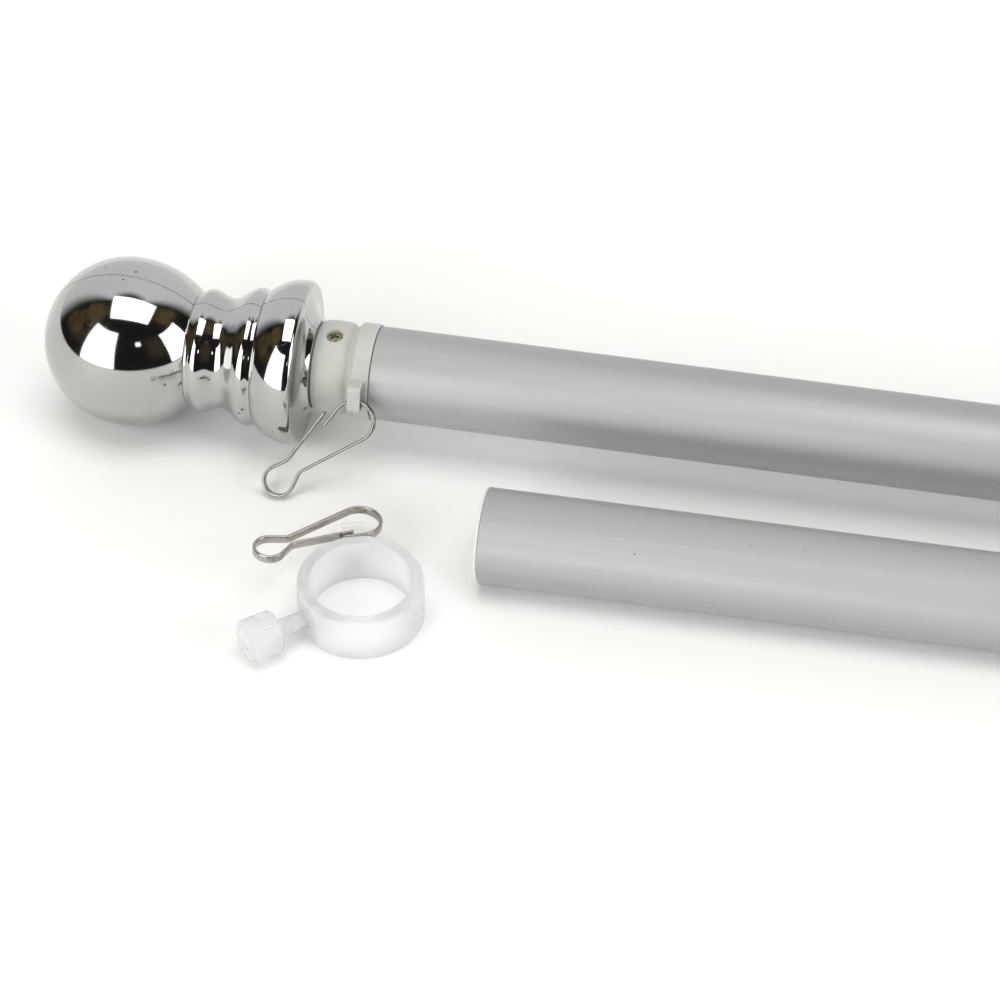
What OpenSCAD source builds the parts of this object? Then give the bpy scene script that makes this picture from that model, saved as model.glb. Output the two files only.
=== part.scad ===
// Two-section house flagpole with a turned ball finial, laid out as a kit.
// The upper section rests on its ball and on its far end. The lower section, and
// the clamp ring with its thumbscrew and spring clip, lie beside it.
// Sizes are in millimetres, +Z is up and the floor is z = 0. The poles run along +X,
// and the origin is the middle of the layout's footprint.

/* [Tubes] */
// Outside diameter of both tubes
tube_od = 25.4; // [22:0.1:32]
// Wall of both tubes
tube_wall = 1.0; // [0.8:0.1:1.6]
// Length of each tube
tube_length = 893; // [300:1:1200]
// Length of the reduced spigot at the upper tube's far end
spigot_length = 50; // [30:1:80]
// Wall of the reduced spigot
spigot_wall = 1.0; // [0.8:0.1:1.6]
// Length of the sizing taper between the tube and its spigot
spigot_taper = 4; // [2:0.5:8]
// Depth to which the lower tube's far end is opened out to take the spigot
socket_depth = 52; // [32:1:84]
// Amount on the radius by which that socket is opened out
socket_relief = 0.35; // [0.3:0.01:0.5]

/* [Finial] */
// Radius of the ball
ball_r = 23.15; // [18:0.05:28]
// Length from the ball's centre to the ball's tip on the neck side, if it were whole
ball_reach = 25.8; // [20:0.1:32]
// Groove beside the ball: [distance from the ball's centre, radius]
groove_1 = [18.9, 16.0]; // [10:0.1:60]
// Crest of the small bead
bead_1 = [22.0, 17.0]; // [10:0.1:60]
// Waist between the beads
waist = [27.8, 15.2]; // [10:0.1:60]
// Crest of the large bead
bead_2 = [35.6, 19.0]; // [10:0.1:60]
// Groove beside the flange
groove_2 = [37.8, 18.4]; // [10:0.1:60]
// Crest of the flange
flange_crest = [47.0, 22.6]; // [10:0.1:60]
// Distance from the ball's centre to the flange's flat back
flange_back = 49.9; // [45:0.1:65]
// Radius of the flange's rim at the back
flange_rim = 1.6; // [0.6:0.1:2]
// Radius of the cove behind the flange, where it leaves the flange's back
cove_r = 20.6; // [15:0.1:20.8]
// Length of the cove along the pole
cove_length = 3.1; // [2:0.1:5]
// Radius at which the cove meets the neck sleeve
cove_end_r = 12.5; // [12.3:0.1:14]
// Wall of the hollow finial
finial_wall = 2.2; // [1.5:0.1:3]
// Radius of the finial's stem inside the neck sleeve
stem_r = 8.9; // [7:0.1:9.4]
// Distance of the stem's end behind the flange
stem_length = 12.6; // [10:0.1:13]
// Radius of the bore in the stem
stem_bore_r = 6; // [4:0.1:6.5]

/* [Neck sleeve] */
// Distance of the visible collar's end behind the flange
collar_length = 13.4; // [13.2:0.1:18]
// Amount on the radius by which the collar's crest stands proud of the tube
collar_proud = 0.1; // [-0.3:0.1:0.5]
// Crown of the collar, on the radius
collar_crown = 1.1; // [0.1:0.1:1.1]
// Length of the sleeve's plug inside the tube
plug_length = 25; // [10:1:40]
// Radius of the passage through the sleeve's plug
sleeve_bore_r = 7.4; // [5:0.1:8]

/* [Neck screw] */
// Distance from the flange's back to the screw's axis
screw_from_flange = 8.3; // [7.5:0.1:9]
// Angle of the screw in front of the top of the pole
screw_angle = 6.3; // [0:0.1:30]
// Depth of the screw's face below the collar's crest
screw_sink = 0.7; // [0:0.1:1]
// Radius of the screw's countersunk head
screw_head_r = 2.2; // [1.8:0.1:2.4]
// Depth of the head's cone
screw_head_depth = 1.3; // [1:0.1:1.6]
// Radius of the screw's shank
screw_shank_r = 1.4; // [1:0.1:1.5]
// Width of the slots of the cross recess
recess_width = 0.7; // [0.5:0.1:0.9]
// Length of the slots of the cross recess
recess_length = 2.6; // [2:0.1:3]
// Depth of the cross recess
recess_depth = 0.8; // [0.5:0.1:1]

/* [Spinner ring] */
// Width of the ring along the pole
spinner_width = 5.8; // [4:0.1:10]
// Amount on the radius by which the ring stands proud of the tube
spinner_proud = 0.5; // [0.1:0.1:1]
// Chamfer on the ring's finial side
spinner_chamfer = 1.2; // [0.3:0.1:1.4]
// End play of the ring on each side
spinner_play = 0.15; // [0.05:0.05:0.4]
// Angle of the bridge above the front of the pole
spinner_bridge_angle = 12.5; // [0:0.5:30]
// Length of the bridge around the ring
spinner_bridge_length = 8; // [6.5:0.1:10]
// Width of the bridge along the pole
spinner_bridge_width = 3.6; // [2.5:0.1:4.5]
// Height of the opening under the bridge
spinner_bridge_gap = 3.1; // [3:0.1:4]
// Thickness of the bridge's bar
bridge_bar = 0.9; // [0.7:0.1:1.5]
// Thickness of the bridge's legs
bridge_leg = 1.2; // [0.8:0.1:1.5]

/* [Clamp ring] */
// Slip on the radius between the ring and a tube
clamp_slip = 0.55; // [0.3:0.05:0.8]
// Wall of the ring
clamp_wall = 3.3; // [2.5:0.1:4.5]
// Height of the ring
clamp_height = 12.87; // [11.5:0.01:18]
// Chamfer on the ring's outer edges
clamp_chamfer = 0.5; // [0.2:0.1:1]
// Width of its bridge around the ring
clamp_bridge_width = 5.7; // [4:0.1:7]
// Height of the opening under its bridge, away from the ring
clamp_bridge_gap = 4.7; // [4.5:0.1:5.5]
// Height of the opening along the ring's axis
clamp_bridge_span = 8.2; // [7:0.1:9]
// Distance of the bridge from the ring's upper face
clamp_bridge_drop = 0.1; // [0.1:0.1:1]

/* [Thumbscrew] */
// Radius of the thumbscrew's shank
shank_r = 2.5; // [2:0.1:3]
// Radius of the thumbscrew's head
head_r = 5.75; // [5:0.05:6.2]
// Length of the thumbscrew's head
head_length = 9; // [6:0.1:12]
// Gap between the ring's wall and the head at rest
head_gap = 8.15; // [8:0.05:12]
// Chamfer of the head's outer end
head_chamfer = 1.1; // [0.5:0.1:1.5]
// Width of the step where the head meets the shank
head_step = 0.6; // [0.3:0.1:1]
// Distance of the shank's tip from the ring's bore
tip_inset = 0.3; // [0.1:0.1:1]

/* [Butt plug] */
// Thickness of the plug's head at its edge
butt_edge = 0.7; // [0.5:0.1:1.5]
// Crown of the plug's head
butt_crown = 0.8; // [0.3:0.1:1.5]
// Amount on the radius by which the head stands inside the tube's surface
butt_inset = 0.1; // [0.05:0.05:0.4]
// Length of the plug inside the tube
butt_spigot = 15; // [8:1:30]
// Wall of the plug inside the tube
butt_wall = 1.6; // [1.2:0.1:2.5]

/* [Spring clips] */
// Thickness of the clips' strip
strip_t = 0.8; // [0.6:0.05:0.9]
// Width of the clips' strip
strip_w = 2.4; // [2:0.1:2.5]
// Radius of the eye, to the middle of the strip
eye_r = 5.48; // [4.8:0.02:6.5]
// Radius of the spring loop, to the middle of the strip
spring_r = 4.05; // [3.4:0.05:4.6]
// Distance between the centres of the eye and the spring loop
clip_span = 26.65; // [24:0.05:32]
// Bend of the long arm, from the spring loop's centre: [along, across]
long_bend = [6.1, 1.7]; // [-10:0.1:10]
// Bend of the free arm on an open clip
open_bend = [5.4, -2.9]; // [-10:0.1:10]
// Bend of the free arm on a shut clip
shut_bend = [6.2, -1.0]; // [-10:0.1:10]
// Free arm's end on an open clip, from the lowest point of the eye: [along, across]
open_end = [-4.7, -1.2]; // [-10:0.1:10]
// Free arm's end on a shut clip
shut_end = [-3.6, 2.4]; // [-10:0.1:10]
// Angle around the eye at which its hook runs out straight
hook_angle = -103; // [-115:1:-95]
// Length of the hook's straight end
hook_length = 6.2; // [4:0.1:7]

/* [Layout] */
// Distance along the pole from the ball's centre to the lower tube's butt
lower_tube_x = 107.75; // [100:0.05:140]
// Distance in front of the upper pole to the lower tube's axis
lower_tube_y = 47.3; // [45:0.1:80]
// Turn of the lower tube from the upper one
lower_tube_turn = -0.28; // [-1:0.01:1]
// Distance along the pole from the ball's centre to the clamp ring's axis
clamp_x = 79.25; // [60:0.05:85]
// Distance in front of the upper pole to the clamp ring's axis
clamp_y = 69.35; // [68:0.05:100]
// Direction of the thumbscrew from the ring's axis
thumbscrew_angle = 219.5; // [180:0.5:240]
// Direction of the clamp ring's bridge from the ring's axis
clamp_bridge_angle = 108; // [90:1:120]
// Angle above the front of the pole at which the clip hangs in the spinner's bridge
clip_angle = 8; // [7:0.5:16]
// Turn of the upper clip in its own plane
upper_clip_turn = 44.5; // [30:0.5:60]
// Slide of the upper clip along the pole from the middle of its bridge
upper_clip_slide = 0.3; // [-0.5:0.05:0.5]
// Turn of the lower clip about the vertical
lower_clip_turn = 38.9; // [30:0.1:45]
// Tilt of the lower clip, its eye lower than its spring loop
lower_clip_tilt = 5.9; // [0:0.1:8]
// Roll of the lower clip about its own length
lower_clip_roll = -1.2; // [-5:0.1:5]
// Length along the hook's straight end to the point that passes the clamp ring's bridge
lower_pass = 3.2; // [1.5:0.1:4]
// Slide of the lower clip outwards from the middle of its bridge's opening
lower_clip_slide = -0.2; // [-0.5:0.05:0.6]
// Gap between the lower clip's strip and the upper leg of its bridge
lower_clip_play = 0.5; // [0.4:0.05:0.8]

/* [Fits] */
// Clearance on the radius where the sleeve and plugs fit into the tubes
plug_fit = 0.05; // [0.02:0.01:0.1]
// Running clearance on the radius of the spinner ring
spinner_fit = 0.05; // [0.02:0.01:0.1]
// Clearance on the radius around both screws
screw_fit = 0.05; // [0.02:0.01:0.1]
// Clearance on the radius between the stem and the sleeve
stem_fit = 0.1; // [0.05:0.01:0.2]
// Height at which the upper clip's spring loop stays above the floor
floor_gap = 0.1; // [0.05:0.05:0.5]

/* [Hidden] */
$fn = 96;

ARC_STEPS = 18; // pieces in each rounded stretch of an outline
COVE_STEPS = 10; // pieces in the finial's cove
BITE = 0.5; // depth to which a moulded bridge runs into its ring
COLLAR_EDGE = 0.6; // width of the collar's sloping edge beside the spinner ring
OVER = 1; // length by which a cutting tool passes the face that it cuts
PLUG_EDGE = 1; // chamfer of the sleeve's plug inside the tube
RECESS_TURN = 20; // turn of the cross recess from the pole's direction
RIM_START = 80; // angle from the pole's direction at which the flange's rim begins
RISE_POWER = 0.8; // steepness of the flange's rise from its groove
SCREW_END = 0.3; // distance of the neck screw's tip from the stem's bore
SHANK_EDGE = 0.5; // chamfer of the thumbscrew's tip
SPINNER_EDGE = 0.2; // chamfer on the spinner ring's tube side

tube_r = tube_od / 2;
tube_bore_r = tube_r - tube_wall;
plug_r = tube_bore_r - plug_fit;
socket_r = tube_bore_r + socket_relief;
spigot_r = socket_r - 2 * plug_fit;

cove_end = flange_back + cove_length;
collar_end = flange_back + collar_length;
tube_start = collar_end + spinner_width + 2 * spinner_play;
collar_r = tube_r + collar_proud;
screw_top = collar_r - screw_sink;
spinner_r = tube_r + spinner_proud;
spinner_x = collar_end + spinner_play;

// The pole leans on the ball and on the edge where the tube ends and its spigot begins
rest_x = tube_start + tube_length - spigot_length - spigot_taper;
pole_dip = asin(ball_r / norm([rest_x, tube_r])) - atan2(tube_r, rest_x);

clamp_bore_r = tube_r + clamp_slip;
clamp_r = clamp_bore_r + clamp_wall;
head_start = clamp_r + head_gap;
head_end = head_start + head_length;
shank_start = clamp_bore_r + tip_inset;

// Footprint of the whole layout, measured from the ball's centre
head_corner = max(
    (head_end - head_chamfer) * -sin(thumbscrew_angle) + head_r * -cos(thumbscrew_angle),
    head_end * -sin(thumbscrew_angle) + (head_r - head_chamfer) * -cos(thumbscrew_angle));
lower_end_x = lower_tube_x + tube_length * cos(lower_tube_turn)
    + tube_r * abs(sin(lower_tube_turn));
centre_x = (lower_end_x - ball_r) / 2;
centre_y = (ball_r - clamp_y - max(head_corner, clamp_r)) / 2;

// Point on a circle
function on_circle(r, a) = [r * cos(a), r * sin(a)];
// Points along an arc
function arc(centre, r, a0, a1, steps = ARC_STEPS) =
    [for (i = [0 : steps]) centre + on_circle(r, a0 + (a1 - a0) * i / steps)];
// Half a wave between two turning points of an outline, without its first point
function wave(p, q, steps = 8) = [for (i = [1 : steps])
    [p.x + (q.x - p.x) * i / steps, p.y + (q.y - p.y) * (1 - cos(180 * i / steps)) / 2]];
// Steep rise that flattens out at its crest, without its first point
function rise(p, q, steps = 10) = [for (i = [1 : steps])
    [p.x + (q.x - p.x) * i / steps, p.y + (q.y - p.y) * pow(sin(90 * i / steps), RISE_POWER)]];
// Outline of the finial's skin from the ball's tip to the flange's back, a wall deeper or not
function skin(wall) = concat(
    [for (i = [0 : ARC_STEPS]) let (a = 180 - 90 * i / ARC_STEPS) on_circle(ball_r - wall, a)],
    [for (i = [1 : ARC_STEPS]) let (x = groove_1.x * i / ARC_STEPS)
        [x, ball_r * sqrt(1 - pow(x / ball_reach, 2)) - wall]],
    [for (p = concat(wave(groove_1, bead_1), wave(bead_1, waist), wave(waist, bead_2),
        wave(bead_2, groove_2, 4), rise(groove_2, flange_crest))) [p.x, p.y - wall]],
    arc([flange_back - wall - flange_rim, flange_crest.y - wall - flange_rim],
        flange_rim, RIM_START, 0, 6));
// Angle around a circle of radius r at which a line from point p, from its centre, touches it
function touch(p, r, side) = atan2(p.y, p.x) + side * acos(r / norm(p));
// Where the hook leaves the eye, and the way that it runs
hook_start = on_circle(eye_r, hook_angle);
hook_way = [sin(hook_angle), -cos(hook_angle)];
// Middle line of a clip, from its free arm's end to its hook's end, about its eye's centre
function clip_line(bend, end) =
    let (spring = [-clip_span, 0], far_bend = spring + long_bend,
        a0 = touch(bend, spring_r, -1), a1 = touch(long_bend, spring_r, 1) - 360,
        a2 = (touch(far_bend, eye_r, -1) + 360) % 360)
    concat([[end.x, end.y - eye_r], spring + bend], arc(spring, spring_r, a0, a1),
        [far_bend], arc([0, 0], eye_r, a2, hook_angle), [hook_start + hook_length * hook_way]);
// Unit vector across the line at its point i, longer at a bend so the strip keeps its thickness
function across(line, i) =
    let (p = line[max(i - 1, 0)], q = line[i], r = line[min(i + 1, len(line) - 1)],
        u = i == 0 ? r - q : q - p, v = i == len(line) - 1 ? q - p : r - q,
        m = u / norm(u) + v / norm(v), n = [-m.y, m.x] / norm(m))
    n / (n * [-u.y, u.x] / norm(u));
// One side of the strip
function strip_side(line, d) = [for (i = [0 : len(line) - 1]) line[i] + d * across(line, i)];

// Where the upper clip passes the spinner's bridge, and how it hangs to the floor
hang_r = spinner_r + spinner_bridge_gap / 2;
hang_x = spinner_x + spinner_width / 2 + upper_clip_slide;
hang = [hang_x * cos(pole_dip) + hang_r * sin(clip_angle) * sin(pole_dip), -hang_r * cos(clip_angle),
    ball_r - hang_x * sin(pole_dip) + hang_r * sin(clip_angle) * cos(pole_dip)];
upper_pass = on_circle(eye_r, upper_clip_turn - 90);
upper_reach = sin(upper_clip_turn) * (clip_span + upper_pass.x)
    - cos(upper_clip_turn) * upper_pass.y + spring_r + strip_t / 2;
upper_lean = asin(min(1, (hang.z - floor_gap) / norm([upper_reach, strip_w / 2])))
    - atan2(strip_w / 2, upper_reach);

// Where the lower clip passes the clamp ring's bridge
lower_hook = hook_start + lower_pass * hook_way;
pass_r = clamp_r + clamp_bridge_gap / 2 + lower_clip_slide;
pass_z = clamp_height - clamp_bridge_drop - bridge_leg - lower_clip_play - strip_w / 2;

// Puts the ball's centre where it belongs in the layout
module layout() translate([-centre_x, -centre_y, 0]) children();
// Frame of the upper pole: +Z runs down the pole from the ball's centre, -X is up
module on_pole() layout() translate([0, 0, ball_r]) rotate([0, pole_dip + 90, 0]) children();
// Frame of the lower tube: +Z runs along it from its butt
module on_lower() layout() translate([lower_tube_x, -lower_tube_y, tube_r])
    rotate([0, 0, lower_tube_turn]) rotate([0, 90, 0]) children();
// Frame of the clamp ring: +Z is its axis, from the floor
module on_clamp() layout() translate([clamp_x, -clamp_y, 0]) children();
// Frame of the thumbscrew: +Z runs outwards from the clamp ring's axis
module on_screw() on_clamp() translate([0, 0, clamp_height / 2])
    rotate([0, 0, thumbscrew_angle]) rotate([0, 90, 0]) children();

// Solid of revolution about +Z from points of [distance along the axis, radius]
module turned(points) rotate_extrude() polygon([for (p = points) [p.y, p.x]]);
// Radial frame on the pole at the neck screw: +Z points outwards
module at_neck_screw() translate([0, 0, flange_back + screw_from_flange])
    rotate([0, 0, 180 + screw_angle]) rotate([0, 90, 0]) children();

module spring_clip(bend, end) {
    line = clip_line(bend, end);
    side = strip_side(line, -strip_t / 2);
    linear_extrude(height = strip_w, center = true)
        polygon(concat(strip_side(line, strip_t / 2), [for (i = [len(side) - 1 : -1 : 0]) side[i]]));
}

// Moulded bridge: a bar on two legs that stands on a surface, along Y, with its opening through X
module bridge(length, width, gap) rotate([90, 0, 90]) linear_extrude(height = width, center = true)
    difference() {
        translate([-length / 2, -BITE]) square([length, gap + bridge_bar + BITE]);
        translate([-length / 2 + bridge_leg, -BITE - OVER])
            square([length - 2 * bridge_leg, gap + BITE + OVER]);
    }

module finial() color([0.80, 0.80, 0.79]) on_pole() difference() {
    turned(concat([[-ball_r, 0]], skin(0),
        [for (i = [0 : COVE_STEPS]) let (t = i / COVE_STEPS)
            [flange_back + cove_length * pow(t, 3), cove_r + (cove_end_r - cove_r) * t]],
        [[cove_end, stem_r], [flange_back + stem_length, stem_r],
        [flange_back + stem_length, stem_bore_r], [flange_back - finial_wall, stem_bore_r]],
        [for (i = [len(skin(finial_wall)) - 1 : -1 : 0]) skin(finial_wall)[i]]));
    at_neck_screw() cylinder(r = screw_shank_r + screw_fit, h = collar_r + OVER);
}

module neck_sleeve() {
    step_r = stem_r + stem_fit;
    plug_end = tube_start + plug_length;
    color([0.80, 0.81, 0.78]) on_pole() difference() {
        turned(concat(
            [[cove_end, step_r]],
            [for (i = [0 : ARC_STEPS]) let (t = i / ARC_STEPS)
                [cove_end + (collar_end - COLLAR_EDGE - cove_end) * t,
                collar_r - collar_crown * pow(2 * t - 1, 4)]],
            [[collar_end, plug_r], [plug_end - PLUG_EDGE, plug_r], [plug_end, plug_r - PLUG_EDGE],
            [plug_end, sleeve_bore_r],
            [flange_back + stem_length + plug_fit, sleeve_bore_r],
            [flange_back + stem_length + plug_fit, step_r]]));
        at_neck_screw() {
            cylinder(r = screw_shank_r + screw_fit, h = collar_r + OVER);
            translate([0, 0, screw_top - screw_head_depth])
                cylinder(r1 = screw_shank_r + screw_fit, r2 = screw_head_r + screw_fit,
                    h = screw_head_depth);
            translate([0, 0, screw_top])
                cylinder(r = screw_head_r + screw_fit, h = screw_sink + OVER);
        }
    }
}

module neck_screw() color([0.72, 0.66, 0.38]) on_pole() at_neck_screw() difference() {
    union() {
        translate([0, 0, stem_bore_r + SCREW_END])
            cylinder(r = screw_shank_r, h = screw_top - screw_head_depth - stem_bore_r - SCREW_END);
        translate([0, 0, screw_top - screw_head_depth])
            cylinder(r1 = screw_shank_r, r2 = screw_head_r - screw_fit, h = screw_head_depth);
    }
    for (a = [RECESS_TURN, RECESS_TURN + 90]) rotate([0, 0, a])
        translate([-recess_length / 2, -recess_width / 2, screw_top - recess_depth])
            cube([recess_length, recess_width, recess_depth + OVER]);
}

module spinner_ring() {
    bore = plug_r + spinner_fit;
    end = spinner_x + spinner_width;
    color([0.80, 0.81, 0.77]) on_pole() {
        turned([[spinner_x, bore], [spinner_x, spinner_r - spinner_chamfer],
            [spinner_x + spinner_chamfer, spinner_r], [end - SPINNER_EDGE, spinner_r],
            [end, spinner_r - SPINNER_EDGE], [end, bore]]);
        translate([0, 0, spinner_x + spinner_width / 2]) rotate([0, 0, -90 - spinner_bridge_angle])
            translate([spinner_r, 0, 0]) rotate([0, 90, 0])
                bridge(spinner_bridge_length, spinner_bridge_width, spinner_bridge_gap);
    }
}

module upper_clip() color([0.58, 0.57, 0.54]) layout() translate(hang)
    rotate([upper_lean - 90, 0, 0]) rotate([-90, 0, 0]) rotate([0, 0, -upper_clip_turn])
        translate([-upper_pass.x, -upper_pass.y, 0]) spring_clip(open_bend, open_end);

module upper_tube() {
    end = tube_start + tube_length;
    color([0.72, 0.73, 0.73]) on_pole() turned([[tube_start, tube_bore_r], [tube_start, tube_r],
        [rest_x, tube_r], [rest_x + spigot_taper, spigot_r], [end, spigot_r],
        [end, spigot_r - spigot_wall], [rest_x + spigot_taper, spigot_r - spigot_wall],
        [rest_x, tube_bore_r]]);
}

module lower_tube() color([0.72, 0.73, 0.73]) on_lower() difference() {
    cylinder(r = tube_r, h = tube_length);
    translate([0, 0, -OVER]) cylinder(r = tube_bore_r, h = tube_length + 2 * OVER);
    translate([0, 0, tube_length - socket_depth]) cylinder(r = socket_r, h = socket_depth + OVER);
}

module butt_plug() color([0.88, 0.88, 0.87]) on_lower() turned(concat(
    [for (i = [0 : ARC_STEPS]) let (t = i / ARC_STEPS)
        [-butt_edge - butt_crown * (1 - t * t), (tube_r - butt_inset) * t]],
    [[0, tube_r - butt_inset], [0, plug_r], [butt_spigot, plug_r], [butt_spigot, plug_r - butt_wall],
    [butt_wall, plug_r - butt_wall], [butt_wall, 0]]));

module clamp_ring() {
    chamfer = clamp_chamfer;
    length = clamp_bridge_span + 2 * bridge_leg;
    color([0.90, 0.91, 0.91]) on_clamp() difference() {
        union() {
            turned([[0, clamp_bore_r], [0, clamp_r - chamfer], [chamfer, clamp_r],
                [clamp_height - chamfer, clamp_r], [clamp_height, clamp_r - chamfer],
                [clamp_height, clamp_bore_r]]);
            rotate([0, 0, clamp_bridge_angle])
                translate([clamp_r, 0, clamp_height - clamp_bridge_drop - length / 2])
                    rotate([0, 90, 0]) rotate([0, 0, 90])
                        bridge(length, clamp_bridge_width, clamp_bridge_gap);
        }
        translate([0, 0, clamp_height / 2]) rotate([0, 0, thumbscrew_angle]) rotate([0, 90, 0])
            cylinder(r = shank_r + screw_fit, h = clamp_r + OVER);
    }
}

module thumbscrew() color([0.93, 0.94, 0.95, 0.6]) on_screw() turned([[shank_start, 0],
    [shank_start, shank_r - SHANK_EDGE], [shank_start + SHANK_EDGE, shank_r], [head_start, shank_r],
    [head_start, head_r - head_step], [head_start + head_step, head_r],
    [head_end - head_chamfer, head_r], [head_end, head_r - head_chamfer], [head_end, 0]]);

module lower_clip() color([0.58, 0.57, 0.54]) on_clamp()
    translate(concat(on_circle(pass_r, clamp_bridge_angle), pass_z))
        rotate([lower_clip_roll, lower_clip_tilt, lower_clip_turn])
            translate([-lower_hook.x, -lower_hook.y, 0]) spring_clip(shut_bend, shut_end);

finial();
neck_sleeve();
neck_screw();
spinner_ring();
upper_clip();
upper_tube();
lower_tube();
butt_plug();
clamp_ring();
thumbscrew();
lower_clip();
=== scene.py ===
import math

import bpy
import numpy as np
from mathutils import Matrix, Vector


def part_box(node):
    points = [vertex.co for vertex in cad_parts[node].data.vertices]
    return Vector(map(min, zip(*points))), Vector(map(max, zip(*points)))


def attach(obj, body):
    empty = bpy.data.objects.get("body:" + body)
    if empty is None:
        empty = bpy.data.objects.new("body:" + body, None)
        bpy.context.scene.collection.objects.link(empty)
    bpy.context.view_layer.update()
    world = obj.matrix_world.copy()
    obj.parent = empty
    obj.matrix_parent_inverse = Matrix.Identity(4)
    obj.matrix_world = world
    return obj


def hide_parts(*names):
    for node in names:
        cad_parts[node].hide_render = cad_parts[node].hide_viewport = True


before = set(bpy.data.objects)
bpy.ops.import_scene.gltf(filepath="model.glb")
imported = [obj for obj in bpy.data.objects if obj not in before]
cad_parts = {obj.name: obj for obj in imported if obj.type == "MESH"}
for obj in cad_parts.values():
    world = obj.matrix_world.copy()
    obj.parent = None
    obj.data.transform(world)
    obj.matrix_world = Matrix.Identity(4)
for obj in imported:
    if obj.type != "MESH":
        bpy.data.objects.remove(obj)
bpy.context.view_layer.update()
print("frame loaded:", len(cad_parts), "nodes")

mm = 0.001  # lengths below are in millimetres, and are multiplied by this when they are placed

# where the pieces lie

layout = {
    "ballRadius": 23.15,
    "poleDip": 0.659183,  # degrees by which the upper pole slopes down from its ball
    "tubeRadius": 12.7,
    "tubeWall": 1.0,
    "tubeLength": 893.0,
    "tubeTurn": -0.28,  # degrees, the lower tube about the vertical
    "lowerTube": (107.75, -47.3),  # x and y of the lower tube's butt from the ball's centre
    "clampRing": (79.25, -69.35),  # x and y of the clamp ring's axis from there; -Y is the front
    "collarEnd": 63.3,  # along the upper pole from the ball's centre: the end of the neck's collar
    "tubeStart": 69.4,  # and the start of the upper tube
    "screwTurn": 219.5,  # degrees, direction of the thumbscrew from the clamp ring's axis
    "bridgeTurn": 108.0,  # degrees, direction of the clamp ring's bridge
}


def turnX(degrees):
    # the matrix of a turn about X, as turnY and turnZ are about Y and Z
    c, s = math.cos(math.radians(degrees)), math.sin(math.radians(degrees))
    return np.array([[1, 0, 0], [0, c, -s], [0, s, c]])


def turnY(degrees):
    c, s = math.cos(math.radians(degrees)), math.sin(math.radians(degrees))
    return np.array([[c, 0, s], [0, 1, 0], [-s, 0, c]])


def turnZ(degrees):
    c, s = math.cos(math.radians(degrees)), math.sin(math.radians(degrees))
    return np.array([[c, -s, 0], [s, c, 0], [0, 0, 1]])


def boxOf(node):
    # the two corners of a CAD node's box, in mm
    low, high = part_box(node)
    return np.array(low) / mm, np.array(high) / mm


# A seat is an origin in mm and a 3x3 turn. In a pole's seat +Z runs along the pole and -X is up.
finialLow, finialHigh = boxOf("finial")
clampLow, clampHigh = boxOf("clamp_ring")
ballCentre = np.array([finialLow[0] + layout["ballRadius"], (finialLow[1] + finialHigh[1]) / 2,
                       layout["ballRadius"]])
upperSeat = (ballCentre, turnY(90 + layout["poleDip"]))
lowerSeat = (ballCentre + np.array([*layout["lowerTube"], layout["tubeRadius"] - layout["ballRadius"]]),
             turnZ(layout["tubeTurn"]) @ turnY(90))
clampSeat = (ballCentre + np.array([*layout["clampRing"], -layout["ballRadius"]]), np.eye(3))
clampHeight = clampHigh[2] - clampLow[2]
screwSeat = (clampSeat[0] + np.array([0, 0, clampHeight / 2]), turnZ(layout["screwTurn"]) @ turnY(90))


def put(points, seat):
    # turns the points and moves them from a seat's own axes into the frame
    return points @ seat[1].T + seat[0]


def unit(degrees):
    # a flat vector of length 1 in this direction
    return np.array([math.cos(math.radians(degrees)), math.sin(math.radians(degrees))])


# surfaces

nearAxis = 0.3  # mm, where an outline stops short of its axis and a fan of triangles closes the rest


def fullTurn(columns):
    # angles in equal steps round an axis, as a row
    return np.linspace(0, 2 * math.pi, columns, endpoint=False)[None, :]


def makeObject(name, points, faces, seat, smoothAngle=40):
    # points in mm on a seat's axes; faces as lists of indices, facing outwards
    mesh = bpy.data.meshes.new(name)
    mesh.from_pydata((put(points, seat) * mm).tolist(), [], faces)
    mesh.validate()
    mesh.update()
    mesh.polygons.foreach_set("use_smooth", np.ones(len(mesh.polygons), dtype=bool))
    piece = bpy.data.objects.new(name, mesh)
    bpy.context.scene.collection.objects.link(piece)
    mesh.set_sharp_from_angle(angle=math.radians(smoothAngle))
    return piece


def gridFaces(rows, columns, wrapRows=False):
    # quads between neighbouring rows of a grid whose columns close on themselves
    row = np.arange(rows if wrapRows else rows - 1)[:, None]
    column = np.arange(columns)[None, :]
    here, there = row * columns, (row + 1) % rows * columns
    beside = (column + 1) % columns
    quads = np.stack([here + column, here + beside, there + beside, there + column], axis=-1)
    return quads.reshape(-1, 4).tolist()


def capFaces(first, columns, pole, outwards):
    # a fan of triangles from one ring of points to the point at its middle
    column = np.arange(columns)
    beside = (column + 1) % columns
    a, b = (column, beside) if outwards else (beside, column)
    return np.stack([first + a, first + b, np.full(columns, pole)], axis=-1).tolist()


def closedGrid(name, rings, seat, smoothAngle=40):
    # rings is rows x columns x 3, and both ends are closed by a fan to the end ring's middle
    rows, columns = rings.shape[:2]
    points = np.vstack([rings.reshape(-1, 3), rings[0].mean(axis=0), rings[-1].mean(axis=0)])
    faces = gridFaces(rows, columns)
    faces += capFaces(0, columns, rows * columns, False)
    faces += capFaces((rows - 1) * columns, columns, rows * columns + 1, True)
    return makeObject(name, points, faces, seat, smoothAngle)


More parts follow.
